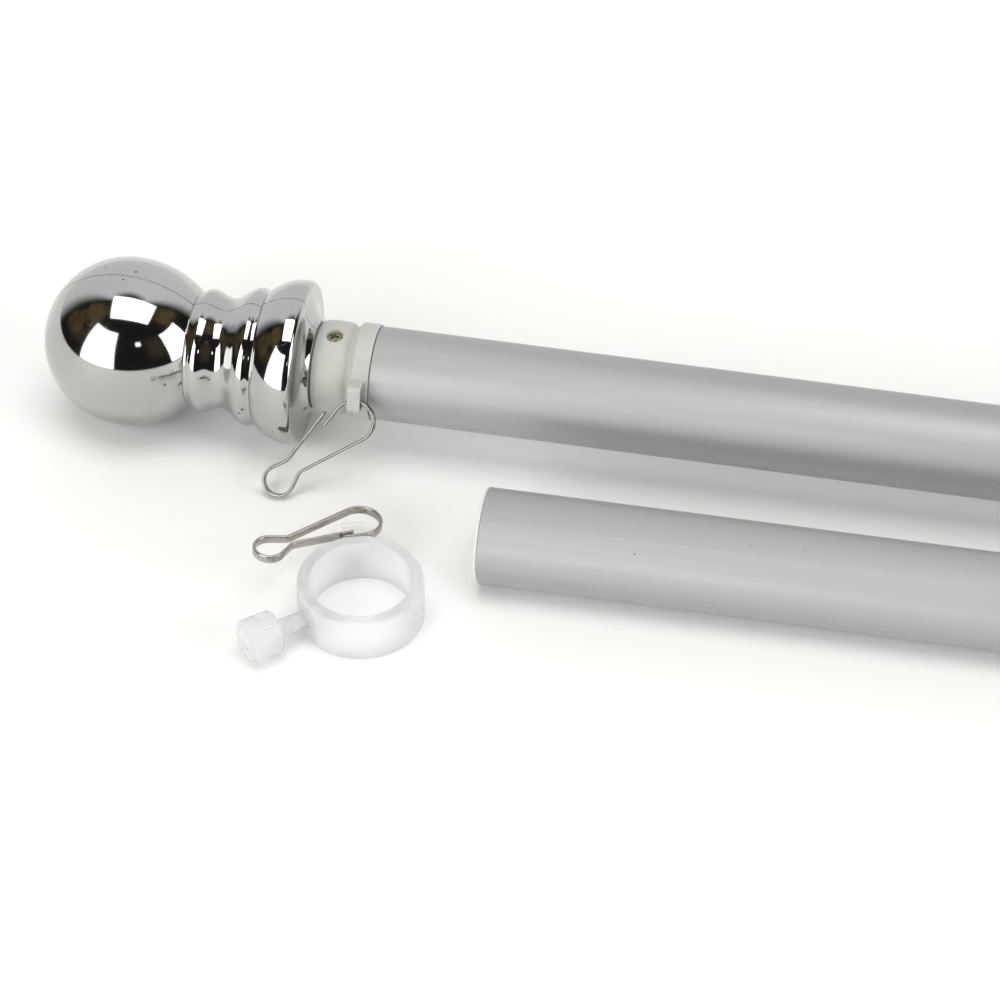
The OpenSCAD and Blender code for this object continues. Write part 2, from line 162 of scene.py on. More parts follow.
def roundCorners(corners, radius, steps=4, share=0.45):
    # a polyline of (along, radius) with each corner but the ends replaced by a short curve: points
    # slide along both sides by t and meet as a quadratic curve with the corner as its handle.
    # The curve takes up no more than this share of either side
    corners = np.array(corners, dtype=float)
    line = [corners[0]]
    t = np.linspace(0, 1, steps + 1)[:, None]
    for before, corner, after in zip(corners[:-2], corners[1:-1], corners[2:]):
        lengthBefore, lengthAfter = np.linalg.norm(before - corner), np.linalg.norm(after - corner)
        reach = min(radius, lengthBefore * share, lengthAfter * share)
        a = corner + (before - corner) / lengthBefore * reach
        b = corner + (after - corner) / lengthAfter * reach
        line += list((1 - t) ** 2 * a + 2 * t * (1 - t) * corner + t ** 2 * b)
    line.append(corners[-1])
    return np.array(line)


def lengthwise(corners, step=12.0):
    # extra points along straight stretches that are longer than the step, so that faces stay short
    corners = np.array(corners, dtype=float)
    line = [corners[0]]
    for a, b in zip(corners[:-1], corners[1:]):
        steps = max(1, int(np.linalg.norm(b - a) / step))
        line += [a + (b - a) * k / steps for k in range(1, steps + 1)]
    return np.array(line)


def turnedRings(profile, turns):
    # each (along, radius) goes round the axis: (radius cos a, radius sin a, along)
    along, radius = profile[:, 0][:, None], profile[:, 1][:, None]
    return np.stack([radius * np.cos(turns), radius * np.sin(turns), along + 0 * turns], axis=-1)


def turnedTube(name, profile, seat, columns=160, smoothAngle=40):
    # a closed outline round the axis: a shell whose rows close on themselves
    rings = turnedRings(profile, fullTurn(columns))[::-1]
    return makeObject(name, rings.reshape(-1, 3), gridFaces(len(rings), columns, True), seat, smoothAngle)


def joined(name, pieces):
    # one object from several closed shells; the faces of each get a material slot of their own
    numbers = np.concatenate([np.full(len(piece.data.polygons), k) for k, piece in enumerate(pieces)])
    for piece in bpy.context.selected_objects:
        piece.select_set(False)
    for piece in pieces:
        piece.select_set(True)
    bpy.context.view_layer.objects.active = pieces[0]
    bpy.ops.object.join()
    pieces[0].name = name
    pieces[0].data.name = name
    pieces[0].data.materials.clear()
    for _ in pieces:
        pieces[0].data.materials.append(None)
    pieces[0].data.polygons.foreach_set("material_index", numbers)
    return pieces[0]


def cutBy(piece, tool):
    # takes the tool's volume out of the piece, and removes the tool
    cut = piece.modifiers.new("cut", "BOOLEAN")
    cut.operation = "DIFFERENCE"
    cut.solver = "EXACT"
    cut.object = tool
    bpy.context.view_layer.update()
    evaluated = piece.evaluated_get(bpy.context.evaluated_depsgraph_get())
    mesh = bpy.data.meshes.new_from_object(evaluated)
    piece.modifiers.clear()
    old, piece.data = piece.data, mesh
    mesh.name = piece.name
    bpy.data.meshes.remove(old)
    bpy.data.objects.remove(tool)
    mesh.polygons.foreach_set("use_smooth", np.ones(len(mesh.polygons), dtype=bool))
    mesh.set_sharp_from_angle(angle=math.radians(40))
    return piece


# shared effects, as node groups

def newGroup(name, inputs, outputs):
    group = bpy.data.node_groups.new(name, "ShaderNodeTree")
    for label, kind, value in inputs:
        socket = group.interface.new_socket(name=label, in_out="INPUT", socket_type=kind)
        socket.default_value = value
    for label, kind in outputs:
        group.interface.new_socket(name=label, in_out="OUTPUT", socket_type=kind)
    return group, group.nodes.new("NodeGroupInput"), group.nodes.new("NodeGroupOutput")


def link(tree, source, target):
    tree.links.new(source, target)


def mathNode(tree, operation, a, b, clamp=False):
    # a and b are sockets or plain numbers
    node = tree.nodes.new("ShaderNodeMath")
    node.operation, node.use_clamp = operation, clamp
    for index, value in enumerate((a, b)):
        if isinstance(value, (int, float)):
            node.inputs[index].default_value = value
        else:
            link(tree, value, node.inputs[index])
    return node.outputs[0]


def rampNode(tree, value, low, high):
    # 0 below low and 1 above high, smoothly between
    node = tree.nodes.new("ShaderNodeMapRange")
    node.interpolation_type = "SMOOTHSTEP"
    link(tree, value, node.inputs["Value"])
    node.inputs["From Min"].default_value, node.inputs["From Max"].default_value = low, high
    return node.outputs["Result"]


def fallNode(tree, value, low, high):
    # 1 below low and 0 above high, smoothly between
    return mathNode(tree, "SUBTRACT", 1.0, rampNode(tree, value, low, high))


def noiseNode(tree, vector, scale, detail=3.0, rough=0.55):
    node = tree.nodes.new("ShaderNodeTexNoise")
    link(tree, vector, node.inputs["Vector"])
    node.inputs["Detail"].default_value, node.inputs["Roughness"].default_value = detail, rough
    if isinstance(scale, (int, float)):
        node.inputs["Scale"].default_value = scale
    else:
        link(tree, scale, node.inputs["Scale"])
    return node.outputs["Fac"]


def stretched(tree, vector, stretch):
    # the vector times the stretch, part by part
    node = tree.nodes.new("ShaderNodeVectorMath")
    node.operation = "MULTIPLY"
    link(tree, vector, node.inputs[0])
    if isinstance(stretch, (tuple, list)):
        node.inputs[1].default_value = stretch
    else:
        link(tree, stretch, node.inputs[1])
    return node.outputs[0]


def buildGrain():
    # fine grain, the mean of two noises of which one is eight times finer, and a wide cloud;
    # all on a position that can be stretched along the work
    group, entry, leave = newGroup("fineGrain",
        [("Position", "NodeSocketVector", (0, 0, 0)), ("Stretch", "NodeSocketVector", (1, 1, 1)),
         ("Scale", "NodeSocketFloat", 900.0), ("CloudScale", "NodeSocketFloat", 45.0)],
        [("Grain", "NodeSocketFloat"), ("Cloud", "NodeSocketFloat")])
    place = stretched(group, entry.outputs["Position"], entry.outputs["Stretch"])
    coarse = noiseNode(group, place, entry.outputs["Scale"], 3.0)
    fineScale = mathNode(group, "MULTIPLY", entry.outputs["Scale"], 8.0)
    fine = noiseNode(group, place, fineScale, 2.0)
    both = mathNode(group, "ADD", coarse, fine)
    link(group, mathNode(group, "MULTIPLY", both, 0.5), leave.inputs["Grain"])
    cloud = noiseNode(group, place, entry.outputs["CloudScale"], 4.0)
    link(group, rampNode(group, cloud, 0.35, 0.68), leave.inputs["Cloud"])
    return group


def buildScuffs():
    # hairline marks: thin bands where a noise crosses its middle, shown only where a wider one is high
    group, entry, leave = newGroup("hairlineScuffs",
        [("Position", "NodeSocketVector", (0, 0, 0)), ("Stretch", "NodeSocketVector", (1, 1, 1)),
         ("Scale", "NodeSocketFloat", 160.0), ("Width", "NodeSocketFloat", 0.006),
         ("Cover", "NodeSocketFloat", 0.5)],
        [("Mask", "NodeSocketFloat")])
    place = stretched(group, entry.outputs["Position"], entry.outputs["Stretch"])
    field = noiseNode(group, place, entry.outputs["Scale"], 1.0)
    away = mathNode(group, "ABSOLUTE", mathNode(group, "SUBTRACT", field, 0.5), 0.0)
    line = mathNode(group, "SUBTRACT", 1.0, mathNode(group, "DIVIDE", away, entry.outputs["Width"]), True)
    patches = noiseNode(group, entry.outputs["Position"], 90.0, 2.0)
    least = mathNode(group, "SUBTRACT", 1.0, entry.outputs["Cover"])
    shown = mathNode(group, "GREATER_THAN", patches, least)
    link(group, mathNode(group, "MULTIPLY", line, shown), leave.inputs["Mask"])
    return group


def buildSpecks():
    # small spots round the seeds of Voronoi cells, in the few cells whose own random colour is low
    group, entry, leave = newGroup("smallSpecks",
        [("Position", "NodeSocketVector", (0, 0, 0)), ("Scale", "NodeSocketFloat", 300.0),
         ("Size", "NodeSocketFloat", 0.2), ("Cover", "NodeSocketFloat", 0.3)],
        [("Mask", "NodeSocketFloat")])
    cells = group.nodes.new("ShaderNodeTexVoronoi")
    link(group, entry.outputs["Position"], cells.inputs["Vector"])
    link(group, entry.outputs["Scale"], cells.inputs["Scale"])
    inside = mathNode(group, "LESS_THAN", cells.outputs["Distance"], entry.outputs["Size"])
    split = group.nodes.new("ShaderNodeSeparateColor")
    link(group, cells.outputs["Color"], split.inputs[0])
    picked = mathNode(group, "LESS_THAN", split.outputs[0], entry.outputs["Cover"])
    link(group, mathNode(group, "MULTIPLY", inside, picked), leave.inputs["Mask"])
    return group


def buildSpot():
    # one ragged spot: 1 within a radius of a point, with the edge moved about by noise
    group, entry, leave = newGroup("raggedSpot",
        [("Position", "NodeSocketVector", (0, 0, 0)), ("Centre", "NodeSocketVector", (0, 0, 0)),
         ("Radius", "NodeSocketFloat", 0.001)],
        [("Mask", "NodeSocketFloat")])
    apart = group.nodes.new("ShaderNodeVectorMath")
    apart.operation = "DISTANCE"
    link(group, entry.outputs["Position"], apart.inputs[0])
    link(group, entry.outputs["Centre"], apart.inputs[1])
    ragged = noiseNode(group, entry.outputs["Position"], 1600.0, 2.0)
    reach = mathNode(group, "MULTIPLY", entry.outputs["Radius"], mathNode(group, "MULTIPLY", ragged, 2.0))
    share = mathNode(group, "DIVIDE", apart.outputs["Value"], reach)
    link(group, fallNode(group, share, 0.8, 1.15), leave.inputs["Mask"])
    return group


grainGroup, scuffGroup, speckGroup, spotGroup = buildGrain(), buildScuffs(), buildSpecks(), buildSpot()
print("shared effects built")


def useGroup(tree, group, position, **values):
    # places a shared effect and sets its named inputs
    node = tree.nodes.new("ShaderNodeGroup")
    node.node_tree = group
    link(tree, position, node.inputs["Position"])
    for label, value in values.items():
        node.inputs[label].default_value = value
    return node


def mixColour(tree, factor, a, b):
    # a is a colour or a socket, b a colour; inputs 6 and 7 are the node's two colours
    node = tree.nodes.new("ShaderNodeMix")
    node.data_type = "RGBA"
    link(tree, factor, node.inputs[0])
    if isinstance(a, tuple):
        node.inputs[6].default_value = (*a, 1)
    else:
        link(tree, a, node.inputs[6])
    node.inputs[7].default_value = (*b, 1)
    return node.outputs[2]


def seamLine(tree, position, side, height, width):
    # a thin broken line in the plane y = side, above the given height
    split = tree.nodes.new("ShaderNodeSeparateXYZ")
    link(tree, position, split.inputs[0])
    away = mathNode(tree, "ABSOLUTE", mathNode(tree, "SUBTRACT", split.outputs[1], side), 0.0)
    line = fallNode(tree, away, width * 0.4, width)
    line = mathNode(tree, "MULTIPLY", line, mathNode(tree, "GREATER_THAN", split.outputs[2], height))
    broken = rampNode(tree, noiseNode(tree, position, 420.0, 2.0), 0.30, 0.44)
    return mathNode(tree, "MULTIPLY", line, broken)


def newFinish(name, look):
    # a finish with grain, cloudy roughness, hairline scuffs, specks and marks at chosen places.
    # Its constants go on the shader itself. Worn places and specks are rougher, and lie a little lower
    material = bpy.data.materials.new(name)
    material.use_nodes = True
    tree = material.node_tree
    shader = tree.nodes["Principled BSDF"]
    for socket, value in look.get("constants", {}).items():
        shader.inputs[socket].default_value = value
    position = tree.nodes.new("ShaderNodeTexCoord").outputs["Object"]
    grain = useGroup(tree, grainGroup, position, Stretch=look.get("stretch", (1, 1, 1)),
                     Scale=look["grainScale"], CloudScale=look.get("cloudScale", 45.0))
    scuffs = useGroup(tree, scuffGroup, position, Stretch=look.get("scuffStretch", (1, 1, 1)),
                      Scale=look["scuffScale"], Width=look["scuffWidth"], Cover=look["scuffCover"])
    specks = useGroup(tree, speckGroup, position, Scale=look["speckScale"], Size=look["speckSize"],
                      Cover=look["speckCover"])
    colour = mixColour(tree, grain.outputs["Cloud"], look["colour"], look["cloudColour"])
    worn = mathNode(tree, "MULTIPLY", scuffs.outputs["Mask"], look["scuffTint"])
    colour = mixColour(tree, worn, colour, look["wornColour"])
    spots = specks.outputs["Mask"]
    for centre, radius in look.get("marks", []):
        spot = useGroup(tree, spotGroup, position, Radius=radius * mm,
                        Centre=tuple(float(v) * mm for v in centre))
        spots = mathNode(tree, "MAXIMUM", spots, spot.outputs["Mask"])
    if "seam" in look:
        spots = mathNode(tree, "MAXIMUM", spots, seamLine(tree, position, *look["seam"]))
    tint = mathNode(tree, "MULTIPLY", spots, look["speckTint"])
    colour = mixColour(tree, tint, colour, look["speckColour"])
    link(tree, colour, shader.inputs["Base Color"])
    low, high = look["roughness"]
    rough = mathNode(tree, "ADD", mathNode(tree, "MULTIPLY", grain.outputs["Cloud"], high - low), low)
    uneven = mathNode(tree, "MULTIPLY", grain.outputs["Grain"], look["grainRough"])
    rough = mathNode(tree, "ADD", rough, uneven)
    rough = mathNode(tree, "ADD", rough, mathNode(tree, "MULTIPLY", worn, 0.25))
    rough = mathNode(tree, "ADD", rough, mathNode(tree, "MULTIPLY", spots, 0.35), True)
    link(tree, rough, shader.inputs["Roughness"])
    height = mathNode(tree, "SUBTRACT", grain.outputs["Grain"],
                      mathNode(tree, "MULTIPLY", scuffs.outputs["Mask"], 0.5))
    height = mathNode(tree, "SUBTRACT", height, mathNode(tree, "MULTIPLY", spots, 0.5))
    bump = tree.nodes.new("ShaderNodeBump")
    bump.inputs["Strength"].default_value = look["bump"]
    bump.inputs["Distance"].default_value = look["bumpDepth"] * mm
    link(tree, height, bump.inputs["Height"])
    link(tree, bump.outputs["Normal"], shader.inputs["Normal"])
    return material


def dress(piece, material, body, slot, *nodes, second=None):
    # gives a finished piece its material and body, and says which CAD nodes it stands for. The slot is not
    # used
    if len(piece.data.materials) == 2:
        piece.data.materials[0], piece.data.materials[1] = material, second or material
    else:
        piece.data.materials.clear()
        piece.data.materials.append(material)
    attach(piece, body)
    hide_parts(*nodes)
    return piece


def onPole(along, radius, angle):
    # a place on the upper pole; the angle is measured from the top, towards the back
    a = math.radians(angle)
    return put(np.array([-radius * math.cos(a), radius * math.sin(a), along]), upperSeat)


# the finial

finial = {
    "ballFront": 178.5,  # degrees from the pole's direction, where the outline starts
    "ballReach": 25.8,  # half the length of the ellipse that the ball's back follows
    "groove1": (18.9, 16.0), "bead1": (22.0, 17.0), "waist": (27.8, 15.2), "bead2": (35.6, 19.0),
    "groove2": (37.8, 18.4), "flangeCrest": (47.0, 22.6), "risePower": 0.8,
    "flangeBack": 49.9, "flangeRim": 1.6, "rimStart": 84,  # degrees, where the rounded rim starts
    "coveRadius": 20.6, "coveLength": 3.1, "coveEnd": 12.5,  # the hollow curve behind the flange
    "stemRadius": 8.9, "stemLength": 12.6, "stemBore": 6.0, "stemEdge": 0.25, "wall": 2.2,
    "flashHeight": 0.08, "flashWidth": 0.1,  # the parting line along the top
    "flashSpots": ((-4.2, 0.18), (-9.5, 0.08), (3.4, 0.09), (39.0, 0.12)),  # along, and extra height
    "flashSpotSize": (0.45, 0.55), "seamWidth": 0.17,
    "columns": 216, "spacing": (0.12, 0.88),  # shares of even columns and of columns near the top
}


def wave(p, q, steps):
    # half a cosine wave between two turning points, without its first point
    t = np.arange(1, steps + 1) / steps
    return np.stack([p[0] + (q[0] - p[0]) * t, p[1] + (q[1] - p[1]) * (1 - np.cos(np.pi * t)) / 2], axis=-1)


def finialOutline():
    # (along, radius) of the ball, beads and flange, the hollow curve behind it, the stem and its bore.
    # The ball's back is an ellipse, the flange's rise is sine^power of a quarter turn, and the hollow
    # curve goes length * u^3 along while its radius falls evenly with u
    f, r = finial, layout["ballRadius"]
    a = np.radians(np.linspace(f["ballFront"], 90, 84))
    ball = np.stack([r * np.cos(a), r * np.sin(a)], axis=-1)
    x = np.linspace(0, f["groove1"][0], 42)[1:]
    ballBack = np.stack([x, r * np.sqrt(1 - (x / f["ballReach"]) ** 2)], axis=-1)
    waves = [wave(f["groove1"], f["bead1"], 12), wave(f["bead1"], f["waist"], 16),
             wave(f["waist"], f["bead2"], 20), wave(f["bead2"], f["groove2"], 10)]
    t = np.arange(1, 31) / 30
    (gx, gr), (cx, cr) = f["groove2"], f["flangeCrest"]
    rise = np.stack([gx + (cx - gx) * t, gr + (cr - gr) * np.sin(np.pi / 2 * t) ** f["risePower"]], axis=-1)
    rim = np.radians(np.linspace(f["rimStart"], 0, 12))
    middle = np.array([f["flangeBack"] - f["flangeRim"], cr - f["flangeRim"]])
    edge = middle + f["flangeRim"] * np.stack([np.cos(rim), np.sin(rim)], axis=-1)
    back, coveEnd = f["flangeBack"], f["flangeBack"] + f["coveLength"]
    u = np.linspace(0, 1, 24)[:, None]
    cove = np.hstack([back + f["coveLength"] * u ** 3,
                      f["coveRadius"] + (f["coveEnd"] - f["coveRadius"]) * u])
    stem = roundCorners([(coveEnd, f["coveEnd"] - 0.1), (coveEnd, f["stemRadius"]),
                         (back + f["stemLength"], f["stemRadius"]), (back + f["stemLength"], f["stemBore"]),
                         (back - f["wall"], f["stemBore"]), (back - f["wall"], nearAxis)], f["stemEdge"], 3)
    return np.vstack([ball, ballBack, *waves, rise, edge, cove, stem])


def buildFinial():
    # turned rings whose columns crowd together at the top, where a broken bead of flash stands up:
    # radius + height * bell of (distance round from the top / width) * a slow wobble along the pole,
    # and a low bump on each of its spots
    f, outline = finial, finialOutline()
    u = np.linspace(-1, 1, f["columns"], endpoint=False)[None, :]
    even, crowded = f["spacing"]
    turns = np.pi * (even * u + crowded * u ** 3) + np.pi  # -X is up, so the top is at pi
    along, radius = outline[:, 0][:, None], outline[:, 1][:, None]
    apart = radius * (turns - np.pi)
    wobble = 0.55 + 0.45 * np.sin(along * 1.9) * np.sin(along * 0.73 + 1.0)
    flash = wobble * f["flashHeight"] * np.exp(-(apart / f["flashWidth"]) ** 2)
    spotLength, spotWidth = f["flashSpotSize"]
    for place, height in f["flashSpots"]:
        flash = flash + height * np.exp(-((along - place) / spotLength) ** 2 - (apart / spotWidth) ** 2)
    coveEnd = f["flangeBack"] + f["coveLength"]
    flash = np.where((radius > 10) & (along < coveEnd - 0.3), flash, 0)  # none on the stem
    flash = np.minimum(flash, layout["ballRadius"] - radius)  # no taller than the ball itself
    rings = turnedRings(outline, turns)
    rings[..., 0] += flash * np.cos(turns)
    rings[..., 1] += flash * np.sin(turns)
    return closedGrid("finialShell", rings[:, ::-1], upperSeat, 50)


chromeMarks = [
    (onPole(-9.2, 21.6, 8), 0.35), (onPole(-6.3, 22.4, 10), 0.35), (onPole(2.6, 23.1, 6), 0.45),
    (onPole(0.3, 23.2, -4), 0.3), (onPole(5.0, 22.8, 22), 0.25), (onPole(15.2, 19.2, -82), 0.55),
    (onPole(13.2, 20.4, -84), 0.4), (onPole(26.2, 15.5, -78), 0.3), (onPole(36.0, 19.0, -98), 0.45),
    (onPole(35.0, 18.9, -104), 0.4), (onPole(45.0, 22.2, -108), 0.4), (onPole(47.6, 22.4, -103), 0.35),
    (onPole(51.9, 13.6, -14), 1.0), (onPole(51.6, 14.2, -8), 0.6), (onPole(52.0, 13.4, -112), 0.8),
]
chromePlate = newFinish("chromePlate", {
    "colour": (0.50, 0.505, 0.50), "cloudColour": (0.46, 0.465, 0.455),
    "wornColour": (0.30, 0.29, 0.26), "speckColour": (0.06, 0.055, 0.05),
    "grainScale": 260.0, "roughness": (0.035, 0.075), "grainRough": 0.02,
    "scuffScale": 70.0, "scuffWidth": 0.004, "scuffCover": 0.42, "scuffTint": 0.45,
    "speckScale": 170.0, "speckSize": 0.055, "speckCover": 0.10, "speckTint": 0.75,
    "bump": 0.10, "bumpDepth": 0.05, "marks": chromeMarks,
    "seam": (ballCentre[1] * mm, ballCentre[2] * mm, finial["seamWidth"] * mm),
    "constants": {"Metallic": 1.0},
})
dress(buildFinial(), chromePlate, "pole", "chromed_plastic", "finial")
print("finial made")

# the neck sleeve and its screw

sleeve = {
    "collarRadius": 12.8, "crown": 1.1, "crownInset": (0.25, 0.6),  # from the collar's two ends
    "plugRadius": 11.65, "plugEnd": 94.4, "plugChamfer": 1, "bore": 7.4,
    "stepRadius": 9.0, "stepEnd": 62.55, "frontGap": 0.02, "frontEdge": 0.3, "edge": 0.2,
}
neckScrew = {
    "along": 58.2, "angle": -6.3,  # degrees from the top, towards the back
    "top": 12.1, "sunk": 0.1, "shank": 1.4, "tip": 6.3, "edge": 0.12,
    # height and radius: of the hole, from the collar's top, and of the head, from its own top
    "hole": ((-4, 1.45), (-1.3, 1.45), (-0.05, 2.25), (0.4, 2.27), (0.65, 2.43), (2, 2.75)),
    "head": ((-1.1, 1.4), (-0.25, 2.0), (-0.12, 1.95), (0, nearAxis)),
    "recessWidth": 0.75, "recessLength": 2.7, "recessTurn": 20,
    "recessEnds": ((-0.75, 0.55), (1, 1.2)),  # height from the top, and share of the length there
    "columns": 48,
}


def buildSleeve():
    # crowned collar, radius - crown * (2 t - 1)^4 along it, then the plug inside the tube,
    # then the bore back to the flange
    s, back = sleeve, finial["flangeBack"] + finial["coveLength"]
    t = np.linspace(0, 1, 24)[:, None]
    start, end = back + s["crownInset"][0], layout["collarEnd"] - s["crownInset"][1]
    collar = np.hstack([start + (end - start) * t, s["collarRadius"] - s["crown"] * (2 * t - 1) ** 4])
    front, plugShoulder = back + s["frontGap"], s["plugEnd"] - s["plugChamfer"]
    rest = roundCorners([collar[-1], (layout["collarEnd"], s["plugRadius"]), (plugShoulder, s["plugRadius"]),
                         (s["plugEnd"], s["plugRadius"] - s["plugChamfer"]), (s["plugEnd"], s["bore"]),
                         (s["stepEnd"], s["bore"]), (s["stepEnd"], s["stepRadius"]),
                         (front, s["stepRadius"]), (front, collar[0][1] - s["frontEdge"])], s["edge"], 3)
    piece = turnedTube("neckSleeve", np.vstack([collar, rest[1:]]), upperSeat, 180)
    hole = np.array(neckScrew["hole"]) + (neckScrew["top"], 0)
    tool = closedGrid("screwHole", turnedRings(hole, fullTurn(neckScrew["columns"])), screwAxis())
    return cutBy(piece, tool)


def screwAxis():
    # the neck screw's own seat: +Z points out of the collar
    n = neckScrew
    turn = upperSeat[1] @ turnZ(180 - n["angle"]) @ turnY(90)
    return put(np.array([0, 0, n["along"]]), upperSeat), turn


def buildNeckScrew():
    # a countersunk head with a slightly crowned face, less a cross of two tapered slots
    n = neckScrew
    top = n["top"] - n["sunk"]
    outline = roundCorners([(n["tip"], n["shank"]), *(np.array(n["head"]) + (top, 0))], n["edge"], 3)
    head = closedGrid("neckScrewHead", turnedRings(outline, fullTurn(n["columns"])), screwAxis())
    halfLong, halfWide = n["recessLength"] / 2, n["recessWidth"] / 2
    corners = ((-halfLong, -halfWide), (halfLong, -halfWide), (halfLong, halfWide), (-halfLong, halfWide))
    for turn in (0, 90):
        slot = np.array([[(x * share, y, top + height) for x, y in corners]
                         for height, share in n["recessEnds"]])
        slot = slot @ turnZ(n["recessTurn"] + turn).T
        cutBy(head, closedGrid("recessTool", slot, screwAxis()))
    return head


sleevePlastic = newFinish("sleevePlastic", {
    "colour": (0.50, 0.505, 0.468), "cloudColour": (0.47, 0.473, 0.435),
    "wornColour": (0.36, 0.34, 0.30), "speckColour": (0.28, 0.26, 0.22),
    "grainScale": 700.0, "roughness": (0.34, 0.46), "grainRough": 0.08,
    "scuffScale": 110.0, "scuffWidth": 0.006, "scuffCover": 0.4, "scuffTint": 0.25,
    "speckScale": 260.0, "speckSize": 0.06, "speckCover": 0.06, "speckTint": 0.6,
    "bump": 0.25, "bumpDepth": 0.04,
    "constants": {"Metallic": 0.0, "IOR": 1.48, "Subsurface Weight": 0.12, "Subsurface Scale": 0.002},
})
yellowZinc = newFinish("yellowZinc", {
    "colour": (0.32, 0.305, 0.22), "cloudColour": (0.12, 0.11, 0.07),
    "wornColour": (0.70, 0.69, 0.64), "speckColour": (0.10, 0.08, 0.04),
    "grainScale": 1500.0, "cloudScale": 900.0, "roughness": (0.2, 0.34), "grainRough": 0.1,
    "scuffScale": 500.0, "scuffWidth": 0.02, "scuffCover": 0.5, "scuffTint": 0.5,
    "speckScale": 900.0, "speckSize": 0.1, "speckCover": 0.2, "speckTint": 0.7,
    "bump": 0.3, "bumpDepth": 0.04, "constants": {"Metallic": 1.0},
})
dress(buildSleeve(), sleevePlastic, "pole", "sleeve_plastic", "neck_sleeve")
dress(buildNeckScrew(), yellowZinc, "pole", "screw_metal", "neck_screw")
print("neck sleeve and screw made")

# moulded bridges and the spinner ring

spinner = {
    "start": 63.45, "width": 5.8, "bore": 11.7, "radius": 13.2, "chamfer": 1.2, "edge": 0.22,
    "outlineEnds": (2, 2.2),  # where the outline starts and ends, inside the bore
    "bridgeAngle": 12.5, "bridgeLength": 8.0, "bridgeWidth": 3.6, "bridgeGap": 3.1,
}
bridge = {"bar": 0.9, "leg": 1.2, "bite": 0.5, "bend": 0.9, "thinning": 0.92, "corner": 0.28, "step": 0.3}


def roundedSection(width, thick, corner, steps=5):
    # a rectangle of the given sides about the origin, with its corners rounded
    a = np.radians(np.linspace(0, 90, steps))
    ring = []
    for quarter, (sx, sy) in enumerate(((1, 1), (-1, 1), (-1, -1), (1, -1))):
        middle = np.array([sx * (width / 2 - corner), sy * (thick / 2 - corner)])
        turn = a + quarter * np.pi / 2
        ring.append(middle + corner * np.stack([np.cos(turn), np.sin(turn)], axis=-1))
    return np.vstack(ring)


def pathSides(path):
    # unit vectors along and across a flat path, worked out from its neighbours
    along = np.gradient(path, axis=0)
    along /= np.linalg.norm(along, axis=1)[:, None]
    return along, np.stack([-along[:, 1], along[:, 0]], axis=-1)


def sweptStrip(name, path, section, seat, endRound=0.0, smoothAngle=40):
    # the section's second side follows the flat path's normal, and its first side stands on the plane:
    # point = path + across * thickness part, with the width part as its third coordinate. Over the last
    # endRound mm at each end the thickness shrinks a little, and the width by a third of that
    along, across = pathSides(path)
    scale = np.ones(len(path))
    if endRound:
        measure = np.concatenate([[0], np.cumsum(np.linalg.norm(np.diff(path, axis=0), axis=1))])
        nearest = np.minimum(measure, measure[-1] - measure)
        inside = np.clip(1 - nearest / endRound, 0, 0.96)
        scale = 1 - endRound * (1 - np.sqrt(1 - inside ** 2)) * 0.9
    thick = section[:, 1][None, :] * scale[:, None]
    wide = section[:, 0][None, :] * (1 - (1 - scale[:, None]) * 0.35)
    flat = path[:, None, :] + across[:, None, :] * thick[..., None]
    rings = np.concatenate([flat, wide[..., None]], axis=-1)
    return closedGrid(name, rings, seat, smoothAngle)


def bridgeStaple(name, length, width, gap, seat):
    # a staple-shaped bar: up one leg, along the bar and down the other, with rounded outer bends.
    # In its seat X runs along the bar, Y stands away from the ring, and Z is across the bar
    b = bridge
    thick = (b["bar"] + b["leg"]) / 2
    inner, height = (length - b["leg"]) / 2, gap + thick / 2
    path = roundCorners([(-inner, -b["bite"]), (-inner, height), (inner, height), (inner, -b["bite"])],
                        b["bend"], 6)
    section = roundedSection(width, thick * b["thinning"], b["corner"])
    return sweptStrip(name, lengthwise(path, b["step"]), section, seat)


def buildSpinner():
    # a band with a chamfer towards the finial, and its bridge
    s = spinner
    start, end = s["start"], s["start"] + s["width"]
    first, last = s["outlineEnds"]
    outline = roundCorners([(start + first, s["bore"]), (start, s["bore"]),
                            (start, s["radius"] - s["chamfer"]), (start + s["chamfer"], s["radius"]),
                            (end, s["radius"]), (end, s["bore"]), (start + last, s["bore"])], s["edge"], 3)
    band = turnedTube("spinnerBand", outline, upperSeat, 180)
    spin = turnZ(-90 - s["bridgeAngle"])
    foot = np.array([0, 0, start + s["width"] / 2]) + spin @ np.array([s["radius"], 0, 0])
    axes = upperSeat[1] @ spin @ np.array([[0, 1, 0], [1, 0, 0], [0, 0, -1.0]]).T
    staple = bridgeStaple("spinnerBridge", s["bridgeLength"], s["bridgeWidth"], s["bridgeGap"],
                          (put(foot, upperSeat), axes))
    return joined("spinnerRing", [band, staple])


dress(buildSpinner(), sleevePlastic, "spinner", "sleeve_plastic", "spinner_ring")
print("spinner ring made")

# the tubes and the butt plug

tubes = {
    "spigotRadius": 11.95, "spigotLength": 50, "spigotTaper": 4, "spigotWall": 1.0,
    "socketRadius": 12.05, "socketDepth": 52, "edge": 0.22,
    "outlineStart": 300,  # along the tube, in the middle of a straight stretch
}
plug = {
    "inset": 0.1, "play": 0.05,  # of the disc inside the tube's rim, and of the cup in its bore
    "rim": 0.7, "crown": 0.8, "shoulder": 0.65, "seat": 0.02,
    "cupLength": 15, "cupWall": 1.6, "edge": 0.3, "columns": 144,
}


def tubeShell(name, corners, seat):
    # the first corner is the middle of a straight stretch, so that every real corner gets its rounding
    outline = roundCorners(corners + [corners[0]], tubes["edge"], 3)[:-1]
    return turnedTube(name, lengthwise(outline), seat, 144)


